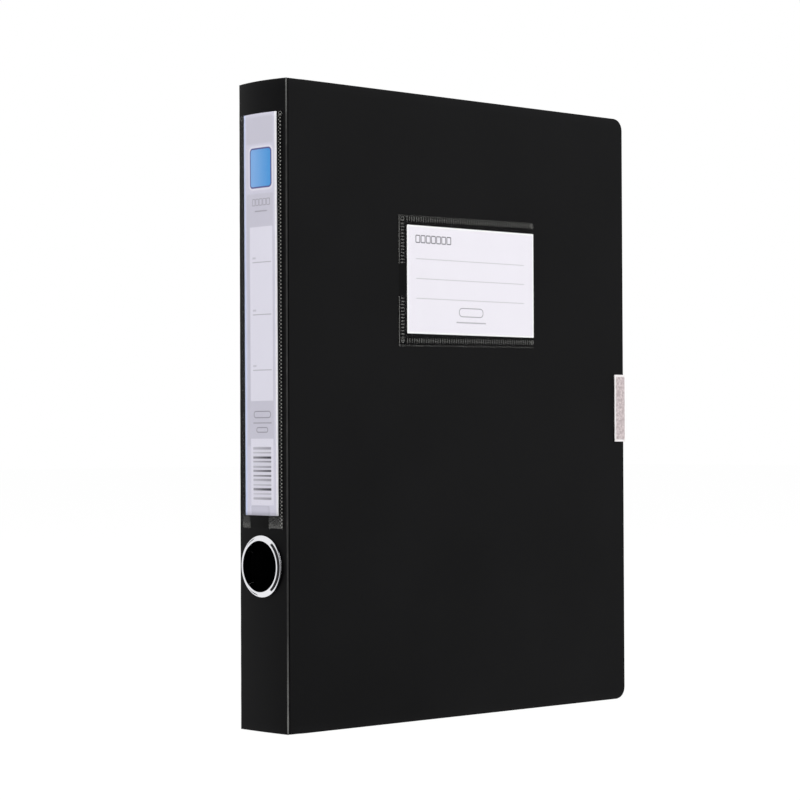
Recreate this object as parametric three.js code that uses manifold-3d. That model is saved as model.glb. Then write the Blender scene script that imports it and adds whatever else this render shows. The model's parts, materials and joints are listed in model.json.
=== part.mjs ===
// Upright document box of black polypropylene sheet, closed, standing on its bottom wall.
// Millimetres. +Z is up, the front cover faces -Y and the spine faces -X.
// The origin is the middle of the bottom wall's outside face.

import * as THREE from 'three';
import { mergeVertices } from 'three/addons/utils/BufferGeometryUtils.js';
import Module from 'manifold-3d';

const wasm = await Module();
wasm.setup();

// Overall sizes
const height = 310;
const coverWidth = 236;
const depth = 35;

// Polypropylene sheet and its folds
const sheet = 1.0;
const bendMidRadius = 1.0;
const bendSteps = 5;
const creaseGap = 0.3;
const floorClearance = 0.3;

// Spine, bowed outwards a little more at its top than at its foot
const bowBottom = 0.6;
const bowTop = 2.2;
const bowSteps = 16;
const bowSections = 8;

// Front cover
const coverCornerRadius = 6;
const coverOverhang = 1.5;

// Tray walls
const wallToCoverGap = 0.3;
const wallToSpineGap = 1.2;
const wallCornerRadius = 10;
const lipWidth = 30;
const lipEndSetback = 7;
const lipTaper = 22;
const earLength = 27;
const earToWallGap = 0.3;
const earFrontInset = 6;
const earBackInset = 3;
const earCornerRadius = 4;

// Snap rivets that hold the tray's ears to its fore-edge wall
const rivetFromEnd = 14;
const rivetY = 1.5;
const rivetHoleRadius = 2.5;
const rivetShankClearance = 0.25;
const rivetHeadRadius = 5;
const rivetHeadHeight = 1.2;
const rivetBarb = 0.35;
const capRadius = 4.6;
const capHeight = 2.8;
const capFloor = 0.8;
const capBoreClearance = 0.12;
const seatGap = 0.1;

// Finger ring in the spine
const ringHeight = 78.8;
const ringInnerRadius = 12.15;
const ringOuterRadius = 14.7;
const ringTubeWall = 0.7;
const ringHoleClearance = 0.3;
const ringFlange = 0.7;
const ringCrest = 2.0;
const ringCrestWidth = 1.7;
const ringCrimpWidth = 1.6;
const ringCrimp = 0.5;
const backingWall = 0.6;
const backingRadius = 15.2;
const roundSegments = 48;
const rivetSegments = 24;

// Paper labels and the clear film pockets that hold them
const paper = 0.3;
const film = 0.25;
const weldWidth = 4.4;
const frontLabelWidth = 89.4;
const frontLabelHeight = 53.6;
const frontLabelCentreX = 4.2;
const frontLabelCentreZ = 217.8;
const thumbNotch = 16;
const spineLabelWidth = 24.1;
const spineLabelHeight = 191.2;
const spineLabelFootZ = 103;
const spineWeldWidth = 2.6;
const spineTabDrop = 6.2;
const spineTabBack = 6.2;
const spineTabFront = 9.4;

// Hook-and-loop closure at the fore edge
const tapeHeight = 35.6;
const tape = 0.9;
const tapeFrontLeg = 7.1;
const tapeInnerLeg = 24;
const loopPad = 1.2;
const loopPadWidth = 20;
const closeGap = 0.3;

// Places that follow from the sizes
const spineX = -coverWidth / 2;
const freeEdgeX = coverWidth / 2;
const frontY = -depth / 2;
const backY = depth / 2;
const creaseX = spineX + sheet / 2;
const creaseSpan = depth / 2 - sheet / 2;
const panelStartX = creaseX + sheet / 2 + creaseGap;
const coverInnerY = frontY + sheet;
const foreWallX = freeEdgeX - coverOverhang;
const foreWallInnerX = foreWallX - sheet;
const wallFrontY = coverInnerY + wallToCoverGap;
const wallSpineX = spineX + sheet + wallToSpineGap;
const tapeInnerY = coverInnerY + seatGap + tape;
const loopFrontY = tapeInnerY + closeGap;
const lipFrontY = loopFrontY + loopPad + seatGap;
const lipInnerY = lipFrontY + sheet;
const earX = foreWallInnerX - earToWallGap;
const earInnerX = earX - sheet;
const bendOuterRadius = bendMidRadius + sheet / 2;
const middleZ = height / 2;
const labelStand = seatGap + paper + seatGap;
const beyond = 10;

const polypropylene = new THREE.MeshStandardMaterial({ color: 0x1e1e1f, roughness: 0.5 });
const clearFilm = new THREE.MeshStandardMaterial({
  color: 0xdfe3ea,
  roughness: 0.1,
  transparent: true,
  opacity: 0.25,
});
const labelPaper = new THREE.MeshStandardMaterial({ color: 0xefeef4, roughness: 0.7 });
const spinePaper = new THREE.MeshStandardMaterial({ color: 0xd8d6e2, roughness: 0.7 });
const chrome = new THREE.MeshStandardMaterial({ color: 0xd9dade, roughness: 0.12, metalness: 1 });
const steel = new THREE.MeshStandardMaterial({ color: 0x9a9ca0, roughness: 0.35, metalness: 1 });
const hookTape = new THREE.MeshStandardMaterial({ color: 0xc8bfbe, roughness: 0.9 });
const loopTape = new THREE.MeshStandardMaterial({ color: 0xb9b2b1, roughness: 1 });
const rivetPlastic = new THREE.MeshStandardMaterial({ color: 0x161617, roughness: 0.4 });

// Solids for joining and cutting

function solidOf(geometry) {
  const bare = geometry.clone();
  bare.deleteAttribute('normal');
  bare.deleteAttribute('uv');
  const merged = mergeVertices(bare, 1e-4);
  return new wasm.Manifold(new wasm.Mesh({
    numProp: 3,
    vertProperties: new Float32Array(merged.attributes.position.array),
    triVerts: new Uint32Array(merged.index.array),
  }));
}

function geometryOf(solid) {
  const mesh = solid.getMesh();
  const geometry = new THREE.BufferGeometry();
  geometry.setAttribute('position', new THREE.BufferAttribute(new Float32Array(mesh.vertProperties), 3));
  geometry.setIndex(new THREE.BufferAttribute(new Uint32Array(mesh.triVerts), 1));
  geometry.computeVertexNormals();
  return geometry;
}

// Extrusions of a flat outline along one axis

function extruded(shape, length) {
  return new THREE.ExtrudeGeometry(shape, { depth: length, bevelEnabled: false, curveSegments: 10 });
}

function alongX(shape, from, to) {
  const turn = new THREE.Matrix4().makeBasis(
    new THREE.Vector3(0, 1, 0),
    new THREE.Vector3(0, 0, 1),
    new THREE.Vector3(1, 0, 0),
  );
  return solidOf(extruded(shape, to - from).applyMatrix4(turn).translate(from, 0, 0));
}

function alongY(shape, from, to) {
  const turn = new THREE.Matrix4().makeBasis(
    new THREE.Vector3(1, 0, 0),
    new THREE.Vector3(0, 0, 1),
    new THREE.Vector3(0, -1, 0),
  );
  return solidOf(extruded(shape, to - from).applyMatrix4(turn).translate(0, to, 0));
}

function alongZ(shape, from, to) {
  return solidOf(extruded(shape, to - from).translate(0, 0, from));
}

// Revolve about a line along X through a given Y and Z; profile points are (radius, x)
function aboutX(profile, y, z, segments = roundSegments) {
  const points = profile.map(([radius, x]) => new THREE.Vector2(radius, x));
  const turned = new THREE.LatheGeometry(points, segments).rotateZ(-Math.PI / 2);
  return solidOf(turned.translate(0, y, z));
}

function polygon(points) {
  return new THREE.Shape(points.map(([u, v]) => new THREE.Vector2(u, v)));
}

// Rectangle with a radius at each corner, in the order low-low, high-low, high-high, low-high
function rectangle(u0, v0, u1, v1, [ll, hl, hh, lh] = [0, 0, 0, 0]) {
  const shape = new THREE.Shape();
  shape.moveTo(u0 + ll, v0);
  shape.lineTo(u1 - hl, v0);
  if (hl) shape.absarc(u1 - hl, v0 + hl, hl, -Math.PI / 2, 0);
  shape.lineTo(u1, v1 - hh);
  if (hh) shape.absarc(u1 - hh, v1 - hh, hh, 0, Math.PI / 2);
  shape.lineTo(u0 + lh, v1);
  if (lh) shape.absarc(u0 + lh, v1 - lh, lh, Math.PI / 2, Math.PI);
  shape.lineTo(u0, v0 + ll);
  if (ll) shape.absarc(u0 + ll, v0 + ll, ll, Math.PI, 1.5 * Math.PI);
  return shape;
}

// Cross-section of a folded sheet: its middle line through the given corners, each bend an arc
function foldedSheet(corners) {
  const path = corners.map(([u, v]) => new THREE.Vector2(u, v));
  const left = [];
  const right = [];
  const addPoint = (point, direction) => {
    const side = new THREE.Vector2(-direction.y, direction.x).multiplyScalar(sheet / 2);
    left.push(point.clone().add(side));
    right.push(point.clone().sub(side));
  };
  const directions = path.slice(1).map((end, i) => end.clone().sub(path[i]).normalize());
  addPoint(path[0], directions[0]);
  for (let i = 1; i < path.length - 1; i++) {
    const before = directions[i - 1];
    const after = directions[i];
    const turn = Math.atan2(before.cross(after), before.dot(after));
    const reach = bendMidRadius * Math.abs(Math.tan(turn / 2));
    const start = path[i].clone().addScaledVector(before, -reach);
    const toCentre = new THREE.Vector2(-before.y, before.x).multiplyScalar(Math.sign(turn) * bendMidRadius);
    const centre = start.clone().add(toCentre);
    for (let step = 0; step <= bendSteps; step++) {
      const angle = (turn * step) / bendSteps;
      addPoint(
        start.clone().rotateAround(centre, angle),
        before.clone().rotateAround(new THREE.Vector2(), angle),
      );
    }
  }
  addPoint(path[path.length - 1], directions[directions.length - 1]);
  return new THREE.Shape([...right, ...left.reverse()]);
}

// How far the spine's middle surface stands out of the crease plane at a place on it
function bowAt(y, z) {
  const bow = bowBottom + (bowTop - bowBottom) * (z / height);
  return bow * (1 - (y / creaseSpan) ** 2);
}

// Loft through closed outlines with the same number of points, anticlockwise seen from above
function loft(sections) {
  const count = sections[0].length;
  const last = (sections.length - 1) * count;
  const index = [];
  for (let lower = 0; lower < last; lower += count) {
    for (let i = 0; i < count; i++) {
      const next = (i + 1) % count;
      index.push(lower + i, lower + next, lower + count + next);
      index.push(lower + i, lower + count + next, lower + count + i);
    }
  }
  const capOf = (section) => {
    const flat = section.map((point) => new THREE.Vector2(point.x, point.y));
    return THREE.ShapeUtils.triangulateShape(flat, []);
  };
  for (const [a, b, c] of capOf(sections[0])) index.push(c, b, a);
  for (const [a, b, c] of capOf(sections.at(-1))) index.push(last + a, last + b, last + c);
  const geometry = new THREE.BufferGeometry();
  const positions = sections.flat().flatMap((point) => point.toArray());
  geometry.setAttribute('position', new THREE.Float32BufferAttribute(positions, 3));
  geometry.setIndex(index);
  return solidOf(geometry);
}

// Sheet that follows the bowed spine, between two distances out from the spine's outer face
function bowedSlab(inner, outer, halfSpan, z0, z1) {
  const section = (z) => {
    const along = (out, sign) => Array.from({ length: bowSteps + 1 }, (_, i) => {
      const y = sign * halfSpan * ((2 * i) / bowSteps - 1);
      return new THREE.Vector3(spineX - bowAt(y, z) - out, y, z);
    });
    return [...along(inner, 1), ...along(outer, -1)];
  };
  const heights = Array.from({ length: bowSections + 1 }, (_, i) => z0 + ((z1 - z0) * i) / bowSections);
  return loft(heights.map(section));
}

// Pieces

function makeTray() {
  const backMidY = backY - sheet / 2;
  const walls = alongX(
    foldedSheet([
      [wallFrontY, sheet / 2],
      [backMidY, sheet / 2],
      [backMidY, height - sheet / 2],
      [wallFrontY, height - sheet / 2],
    ]),
    panelStartX,
    earX - bendOuterRadius,
  );
  const foreEdge = alongZ(
    foldedSheet([
      [panelStartX, backMidY],
      [foreWallX - sheet / 2, backMidY],
      [foreWallX - sheet / 2, lipFrontY + sheet / 2],
      [foreWallX - lipWidth, lipFrontY + sheet / 2],
    ]),
    0,
    height,
  );
  const roundedBack = alongX(
    rectangle(frontY, 0, backY, height, [0, bendOuterRadius, bendOuterRadius, 0]),
    spineX,
    freeEdgeX,
  );
  const plan = new THREE.Shape();
  plan.moveTo(foreWallX, wallFrontY);
  plan.lineTo(foreWallX, backY);
  plan.lineTo(panelStartX, backY);
  plan.lineTo(panelStartX, backY - bendOuterRadius);
  plan.lineTo(wallSpineX, backY - bendOuterRadius);
  plan.lineTo(wallSpineX, wallFrontY + wallCornerRadius);
  plan.absarc(wallSpineX + wallCornerRadius, wallFrontY + wallCornerRadius, wallCornerRadius,
    Math.PI, 1.5 * Math.PI);
  let tray = walls.add(foreEdge);
  for (const top of [false, true]) tray = tray.add(makeEar(top));
  tray = tray.intersect(roundedBack).intersect(alongZ(plan, 0, height));
  for (const top of [false, true]) tray = tray.subtract(makeLipTrim(top)).subtract(makeRivetHole(top));
  return tray;
}

// Height of a place given from the nearer end of the box
function fromEnd(distance, top) {
  return top ? height - distance : distance;
}

function makeEar(top) {
  const bent = alongY(
    foldedSheet([
      [earX - lipWidth, fromEnd(sheet / 2, top)],
      [earX - sheet / 2, fromEnd(sheet / 2, top)],
      [earX - sheet / 2, fromEnd(earLength, top)],
    ]),
    wallFrontY + earFrontInset,
    backY - earBackInset,
  );
  const tip = fromEnd(earLength, top);
  const root = fromEnd(0, top);
  const radii = top ? [earCornerRadius, earCornerRadius, 0, 0] : [0, 0, earCornerRadius, earCornerRadius];
  const outline = rectangle(
    wallFrontY + earFrontInset,
    Math.min(tip, root),
    backY - earBackInset,
    Math.max(tip, root),
    radii,
  );
  return bent.intersect(alongX(outline, earX - lipWidth, earX));
}

// What is cut off each end of the lip, so that it tapers towards its free edge
function makeLipTrim(top) {
  const foldX = foreWallX - bendOuterRadius;
  return alongY(
    polygon([
      [foreWallX + beyond, fromEnd(-beyond, top)],
      [foreWallX + beyond, fromEnd(lipEndSetback, top)],
      [foldX, fromEnd(lipEndSetback, top)],
      [foreWallX - lipWidth - beyond, fromEnd(lipEndSetback + lipTaper * (1 + beyond / lipWidth), top)],
      [foreWallX - lipWidth - beyond, fromEnd(sheet, top)],
      [foldX, fromEnd(sheet, top)],
      [foldX, fromEnd(-beyond, top)],
    ]),
    lipFrontY - seatGap,
    lipInnerY + sheet / 2,
  );
}

function makeRivetHole(top) {
  return aboutX(
    [[0, earInnerX - beyond], [rivetHoleRadius, earInnerX - beyond],
      [rivetHoleRadius, foreWallX + beyond], [0, foreWallX + beyond]],
    rivetY,
    fromEnd(rivetFromEnd, top),
    rivetSegments,
  );
}

function makeRivetHead(top) {
  const shank = rivetHoleRadius - rivetShankClearance;
  const under = foreWallX + seatGap;
  const tip = earInnerX - capHeight + capFloor;
  return aboutX(
    [
      [0, tip],
      [shank - 2 * rivetBarb, tip],
      [shank - rivetBarb, tip + 2 * rivetBarb],
      [shank - 2 * rivetBarb, tip + 3 * rivetBarb],
      [shank - rivetBarb, earInnerX],
      [shank, earInnerX + sheet / 2],
      [shank, under],
      [rivetHeadRadius, under],
      [rivetHeadRadius, under + 0.35 * rivetHeadHeight],
      [0.86 * rivetHeadRadius, under + 0.75 * rivetHeadHeight],
      [0.6 * rivetHeadRadius, under + rivetHeadHeight],
      [0, under + rivetHeadHeight],
    ],
    rivetY,
    fromEnd(rivetFromEnd, top),
    rivetSegments,
  );
}

function makeRivetCap(top) {
  const mouth = earInnerX - seatGap;
  const bore = rivetHoleRadius - rivetShankClearance + capBoreClearance;
  return aboutX(
    [
      [0, mouth - capHeight],
      [0.7 * capRadius, mouth - capHeight],
      [0.95 * capRadius, mouth - 0.8 * capHeight],
      [capRadius, mouth - 0.5 * capHeight],
      [capRadius, mouth],
      [bore, mouth],
      [bore, mouth - capHeight + capFloor],
      [0, mouth - capHeight + capFloor],
    ],
    rivetY,
    fromEnd(rivetFromEnd, top),
    rivetSegments,
  );
}

function makeCover() {
  return alongY(
    rectangle(
      panelStartX,
      floorClearance,
      freeEdgeX,
      height - floorClearance,
      [0, coverCornerRadius, coverCornerRadius, 0],
    ),
    frontY,
    coverInnerY,
  );
}

function makeCreaseBead(y) {
  const bead = new THREE.CylinderGeometry(sheet / 2, sheet / 2, height - 2 * floorClearance, 16);
  return solidOf(bead.rotateX(Math.PI / 2).translate(creaseX, y, middleZ));
}

function makeSpine() {
  const holeRadius = ringInnerRadius + ringTubeWall + ringHoleClearance;
  const hole = aboutX(
    [[0, spineX - beyond], [holeRadius, spineX - beyond],
      [holeRadius, spineX + beyond], [0, spineX + beyond]],
    0,
    ringHeight,
  );
  return bowedSlab(-sheet, 0, creaseSpan, floorClearance, height - floorClearance)
    .add(makeCreaseBead(-creaseSpan))
    .add(makeCreaseBead(creaseSpan))
    .subtract(hole);
}

// Places along X of the ring's seats on the bowed spine
const ringSeatX = spineX - bowAt(0, ringHeight + ringOuterRadius) - seatGap;
const ringBackX = spineX + sheet - bowAt(backingRadius, ringHeight - backingRadius) + seatGap;

function makeFingerRing() {
  const tubeRadius = ringInnerRadius + ringTubeWall;
  const crestX = ringSeatX - ringCrest;
  const crestOuter = ringInnerRadius + ringCrestWidth;
  const crestMiddle = (ringInnerRadius + crestOuter) / 2;
  const flangeX = ringSeatX - ringFlange;
  const crimpX = ringBackX + backingWall + seatGap;
  const crest = Array.from({ length: 9 }, (_, i) => {
    const angle = Math.PI * (1 - i / 8);
    return [
      crestMiddle + (ringCrestWidth / 2) * Math.cos(angle),
      crestX + (ringCrestWidth / 2) * (1 - Math.sin(angle)),
    ];
  });
  return aboutX(
    [
      [ringInnerRadius, crimpX + ringCrimp],
      ...crest,
      [crestOuter, flangeX],
      [ringOuterRadius - ringFlange / 2, flangeX],
      [ringOuterRadius, flangeX + ringFlange / 2],
      [ringOuterRadius, ringSeatX],
      [tubeRadius, ringSeatX],
      [tubeRadius, crimpX],
      [ringInnerRadius + ringCrimpWidth, crimpX],
      [ringInnerRadius + ringCrimpWidth, crimpX + ringCrimp / 2],
      [ringInnerRadius + ringCrimpWidth - ringCrimp / 2, crimpX + ringCrimp],
      [ringInnerRadius, crimpX + ringCrimp],
    ],
    0,
    ringHeight,
  );
}

function makeRingBacking() {
  const bore = ringInnerRadius + ringTubeWall + ringHoleClearance / 2;
  return aboutX(
    [
      [bore, ringBackX],
      [backingRadius, ringBackX],
      [backingRadius, ringBackX + 0.6 * backingWall],
      [backingRadius - 0.4 * backingWall, ringBackX + backingWall],
      [bore, ringBackX + backingWall],
      [bore, ringBackX],
    ],
    0,
    ringHeight,
  );
}

const frontLabel = {
  x0: frontLabelCentreX - frontLabelWidth / 2,
  x1: frontLabelCentreX + frontLabelWidth / 2,
  z0: frontLabelCentreZ - frontLabelHeight / 2,
  z1: frontLabelCentreZ + frontLabelHeight / 2,
};

function makeFrontLabel() {
  return alongY(
    rectangle(frontLabel.x0, frontLabel.z0, frontLabel.x1, frontLabel.z1),
    frontY - seatGap - paper,
    frontY - seatGap,
  );
}

// Film welded to the cover above, below and on the left of the label, with a gap for the thumb
function makeFrontPocket() {
  const edge = weldWidth + seatGap;
  const { x0, x1, z0, z1 } = frontLabel;
  const weldFace = frontY - seatGap;
  const standFace = frontY - labelStand;
  const flat = alongY(rectangle(x0 - edge, z0 - edge, x1, z1 + edge), weldFace - film, weldFace);
  const raised = alongY(
    rectangle(x0 - seatGap - film, z0 - seatGap - film, x1, z1 + seatGap + film),
    standFace - film,
    weldFace,
  );
  const cavity = alongY(
    rectangle(x0 - seatGap, z0 - seatGap, x1 + beyond, z1 + seatGap),
    standFace,
    frontY + beyond,
  );
  const notch = alongY(
    rectangle(
      x0 - edge - beyond,
      frontLabelCentreZ - thumbNotch / 2,
      x0,
      frontLabelCentreZ + thumbNotch / 2,
    ),
    standFace - beyond,
    frontY + beyond,
  );
  return flat.add(raised).subtract(cavity).subtract(notch);
}

const spineLabelHalf = spineLabelWidth / 2;
const spineLabelTopZ = spineLabelFootZ + spineLabelHeight;

function makeSpineLabel() {
  return bowedSlab(seatGap, seatGap + paper, spineLabelHalf, spineLabelFootZ, spineLabelTopZ);
}

// Film welded to the spine along both sides and by two tabs at its foot, open at the top
function makeSpinePocket() {
  const half = spineLabelHalf + seatGap + spineWeldWidth;
  const foot = spineLabelFootZ - spineTabDrop;
  const top = spineLabelTopZ;
  const inside = spineLabelHalf + seatGap;
  const flat = bowedSlab(seatGap, seatGap + film, half, foot, top);
  const raised = bowedSlab(
    seatGap,
    labelStand + film,
    inside + film,
    spineLabelFootZ - seatGap - film,
    top,
  );
  const cavity = bowedSlab(-sheet, labelStand, inside, spineLabelFootZ - seatGap, top + beyond);
  const notch = alongX(
    rectangle(-half + spineTabFront, foot - beyond, half - spineTabBack, spineLabelFootZ - seatGap),
    spineX - beyond,
    spineX + beyond,
  );
  return flat.add(raised).subtract(cavity).subtract(notch);
}

// Tape folded over the cover's free edge: a short leg in front and the hook leg inside
function makeClosingTab() {
  const slot = sheet + 2 * seatGap;
  const outside = rectangle(
    freeEdgeX - tapeInnerLeg,
    frontY - seatGap - tape,
    freeEdgeX + seatGap + tape,
    tapeInnerY,
    [0, slot / 2 + tape, slot / 2 + tape, 0],
  );
  const whole = alongZ(outside, middleZ - tapeHeight / 2, middleZ + tapeHeight / 2);
  const slotCut = alongZ(
    rectangle(
      freeEdgeX - tapeInnerLeg - beyond,
      frontY - seatGap,
      freeEdgeX + seatGap,
      coverInnerY + seatGap,
      [0, slot / 4, slot / 4, 0],
    ),
    0,
    height,
  );
  const frontCut = alongZ(
    rectangle(
      freeEdgeX - tapeInnerLeg - beyond,
      frontY - beyond,
      freeEdgeX - tapeFrontLeg,
      coverInnerY,
    ),
    0,
    height,
  );
  return whole.subtract(slotCut).subtract(frontCut);
}

function makeLoopPad() {
  const right = foreWallX - bendOuterRadius;
  return alongY(
    rectangle(
      right - loopPadWidth,
      middleZ - tapeHeight / 2,
      right,
      middleZ + tapeHeight / 2,
      [1, 1, 1, 1],
    ),
    loopFrontY,
    loopFrontY + loopPad,
  );
}

function piece(name, solid, material) {
  const mesh = new THREE.Mesh(geometryOf(solid), material);
  mesh.name = name;
  return mesh;
}

const tray = new THREE.Group();
tray.add(
  piece('tray', makeTray(), polypropylene),
  piece('loop_pad', makeLoopPad(), loopTape),
);
for (const [end, top] of [['lower', false], ['upper', true]]) {
  tray.add(
    piece(`rivet_head_${end}`, makeRivetHead(top), rivetPlastic),
    piece(`rivet_cap_${end}`, makeRivetCap(top), rivetPlastic),
  );
}

const spine = new THREE.Group();
spine.add(
  piece('spine', makeSpine(), polypropylene),
  piece('spine_label', makeSpineLabel(), spinePaper),
  piece('spine_pocket_film', makeSpinePocket(), clearFilm),
  piece('finger_ring', makeFingerRing(), chrome),
  piece('ring_backing', makeRingBacking(), steel),
);

const cover = new THREE.Group();
cover.add(
  piece('front_cover', makeCover(), polypropylene),
  piece('front_label', makeFrontLabel(), labelPaper),
  piece('front_pocket_film', makeFrontPocket(), clearFilm),
  piece('closing_tab', makeClosingTab(), hookTape),
);

const box = new THREE.Group();
box.add(tray, spine, cover);

export default box;
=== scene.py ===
"""Upright document box of black polypropylene sheet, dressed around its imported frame."""

import json
import math

import bmesh
import bpy
import numpy as np
from bpy.props import FloatProperty, FloatVectorProperty, IntProperty, PointerProperty
from mathutils import Matrix, Vector


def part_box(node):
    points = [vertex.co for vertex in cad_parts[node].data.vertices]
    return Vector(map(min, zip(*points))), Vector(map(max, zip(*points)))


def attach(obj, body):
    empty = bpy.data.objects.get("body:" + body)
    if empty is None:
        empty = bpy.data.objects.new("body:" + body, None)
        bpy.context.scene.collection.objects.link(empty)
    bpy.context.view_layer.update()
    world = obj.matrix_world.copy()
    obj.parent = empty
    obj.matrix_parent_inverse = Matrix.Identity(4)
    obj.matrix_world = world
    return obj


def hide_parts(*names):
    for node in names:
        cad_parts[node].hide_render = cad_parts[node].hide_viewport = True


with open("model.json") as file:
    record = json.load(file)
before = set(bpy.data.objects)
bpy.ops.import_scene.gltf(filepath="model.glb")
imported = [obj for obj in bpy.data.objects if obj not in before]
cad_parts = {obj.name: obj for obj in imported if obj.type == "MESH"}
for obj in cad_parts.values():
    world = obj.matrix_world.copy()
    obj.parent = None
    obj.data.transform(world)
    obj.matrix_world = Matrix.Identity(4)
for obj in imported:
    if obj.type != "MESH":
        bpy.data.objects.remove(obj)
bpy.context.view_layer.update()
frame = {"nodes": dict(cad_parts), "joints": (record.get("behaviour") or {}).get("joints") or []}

bl_info = {
    "name": "Upright document box",
    "version": (1, 0, 0),
    "blender": (4, 5, 0),
    "location": "3D View > Sidebar > Document box",
    "description": "Sheet, spine, label pockets, finger ring and closing tab of an upright document box",
    "category": "Object",
}

MM = 0.001
JOINTS = {joint["name"]: joint for joint in frame["joints"]}
CREASE_X, CREASE_Y = JOINTS["cover_crease"]["pos_m"][:2]
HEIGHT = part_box("tray")[1].z
SEED = 11


# Settings

def length(name, description, millimetres):
    """A size in millimetres, kept in metres."""
    return FloatProperty(
        name=name,
        description=description,
        default=millimetres * MM,
        unit="LENGTH",
        precision=5,
    )


def colour(name, description, red, green, blue):
    """A colour given by its 8-bit sRGB values, kept as linear light."""
    linear = [
        value / 255 / 12.92 if value <= 10 else ((value / 255 + 0.055) / 1.055) ** 2.4
        for value in (red, green, blue)
    ]
    return FloatVectorProperty(
        name=name,
        description=description,
        default=linear,
        size=3,
        subtype="COLOR",
        min=0,
        max=1,
    )


class BoxSheetSettings(bpy.types.PropertyGroup):
    """Sizes and colours of the folded polypropylene sheet."""

    thickness: length("Thickness", "Wall of the sheet", 1.0)
    bow_foot: length("Bow at the foot", "How far the spine stands out at its foot", 0.6)
    bow_head: length("Bow at the head", "How far the spine stands out at its head", 2.2)
    crease_radius: length("Crease radius", "Radius of the living crease's bead", 0.52)
    edge_round: length("Edge round", "Rounding of the cut edges", 0.16)
    corner_radius: length("Corner radius", "Radius of the cover's free corners", 6.0)
    black: colour("Black", "Colour of the sheet", 12, 12, 13)
    scuffed: colour("Worn black", "Colour of the sheet where it is handled", 20, 20, 21)
    # The two crease colours hold stress whitening and a painted highlight together.
    stressed: colour("Stressed crease", "Colour of the whitened crease at mid height", 50, 50, 50)
    stressed_end: colour("Crease ends", "Colour of the crease at its two ends", 122, 122, 120)


class BoxRingSettings(bpy.types.PropertyGroup):
    """Sizes and colours of the finger ring."""

    outer_radius: length("Outer radius", "Radius of the ring's flange", 14.7)
    inner_radius: length("Inner radius", "Radius of the finger hole", 12.15)
    crest: length("Crest", "How far the rim stands above its seat", 1.5)
    crest_width: length("Crest width", "Width of the rim", 1.08)
    flange: length("Flange", "Height of the flange where it meets the rim", 0.58)
    chrome: colour("Chrome", "Colour of the plating", 236, 236, 240)
    steel: colour("Backing", "Colour of the backing washer", 172, 173, 176)


class BoxLabelSettings(bpy.types.PropertyGroup):
    """Sizes and colours of the paper labels and their film pockets."""

    film: length("Film", "Thickness of the clear film", 0.18)
    weld_pitch: length("Weld pitch", "Spacing of the knurls in the front pocket's weld", 1.6)
    spine_weld_pitch: length("Spine weld pitch", "Spacing of the spine weld's dots", 1.71)
    white: colour("Card", "Colour of the front card", 242, 239, 247)
    edge_white: colour("Card edge", "Colour of the card's bright border", 253, 253, 254)
    rule: colour("Rules", "Colour of the writing rules", 208, 207, 212)
    ink: colour("Ink", "Colour of the printed cells and bars", 52, 50, 60)
    lavender: colour("Spine paper", "Colour of the spine label's fields", 222, 220, 232)
    margin: colour("Spine margin", "Colour of the spine label's margins", 207, 205, 220)
    margin_blue: colour("Spine margin, far side", "Colour of the spine label's far edge", 204, 212, 242)
    lavender_grey: colour("Printed zone", "Colour of the spine label's printed zones", 198, 196, 209)
    uncovered: colour("Uncovered foot", "Spine paper where the film is cut away", 178, 177, 190)
    sky: colour("Patch, light side", "Light side of the blue patch", 124, 172, 226)
    azure: colour("Patch, deep side", "Deep side of the blue patch", 74, 150, 216)
    patch_edge: colour("Patch border", "Border of the blue patch", 84, 82, 138)
    weld: colour("Weld", "Colour of the knurled weld", 118, 118, 115)


class BoxTapeSettings(bpy.types.PropertyGroup):
    """Sizes and colours of the hook-and-loop closure."""

    thread_pitch: length("Thread pitch", "Spacing of the tape's threads", 0.55)
    hook_height: length("Hook height", "How far the hooks stand off the tape", 0.4)
    hook_columns: IntProperty(name="Hook columns", description="Hooks across the tape", default=14)
    hook_rows: IntProperty(name="Hook rows", description="Hooks along the tape", default=26)
    thread: colour("Thread", "Colour of the tape", 221, 209, 210)
    thread_dark: colour("Shaded thread", "Colour between the threads", 170, 155, 157)
    # Painted highlight: the bright colour laid along the tape's long edges and the front leg's cut end.
    selvedge: colour("Selvedge", "Colour of the tape's bright edges", 250, 247, 247)


class BoxStageSettings(bpy.types.PropertyGroup):
    """The camera's place and the light."""

    camera_x: length("Camera X", "Camera's place along X", -869.0)
    camera_y: length("Camera Y", "Camera's place along Y", -902.0)
    camera_z: length("Camera Z", "Camera's height", 139.1)
    camera_yaw: FloatProperty(name="Yaw", description="Camera's turn about Z", default=42.96)
    camera_pitch: FloatProperty(name="Pitch", description="Camera's tilt", default=-0.903)
    camera_roll: FloatProperty(name="Roll", description="Camera's roll", default=-0.225)
    focal_pixels: FloatProperty(name="Focal length in pixels", description="At 800 pixels", default=2464.5)
    frame_pixels: FloatProperty(name="Frame", description="Width of the photograph", default=800.0)
    world: FloatProperty(name="World light", description="Light from the surroundings", default=0.47)
    key: FloatProperty(name="Key light", description="Power of the large front lamp", default=26.0)
    side: FloatProperty(name="Side light", description="Power of the lamp on the spine's side", default=32.0)


SETTINGS = {
    "document_box_sheet": BoxSheetSettings,
    "document_box_ring": BoxRingSettings,
    "document_box_labels": BoxLabelSettings,
    "document_box_tape": BoxTapeSettings,
    "document_box_stage": BoxStageSettings,
}


# Shader maths

class Amount:
    """A number on its way through a material. Python's operators add the Math nodes."""

    def __init__(self, finish, socket):
        self.finish = finish
        self.socket = socket

    def __add__(self, other):
        return self.finish.math("ADD", self, other)

    def __sub__(self, other):
        return self.finish.math("SUBTRACT", self, other)

    def __rsub__(self, other):
        return self.finish.math("SUBTRACT", other, self)

    def __mul__(self, other):
        return self.finish.math("MULTIPLY", self, other)

    def __truediv__(self, other):
        return self.finish.math("DIVIDE", self, other)

    def __abs__(self):
        return self.finish.math("ABSOLUTE", self)

    __radd__ = __add__
    __rmul__ = __mul__


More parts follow.
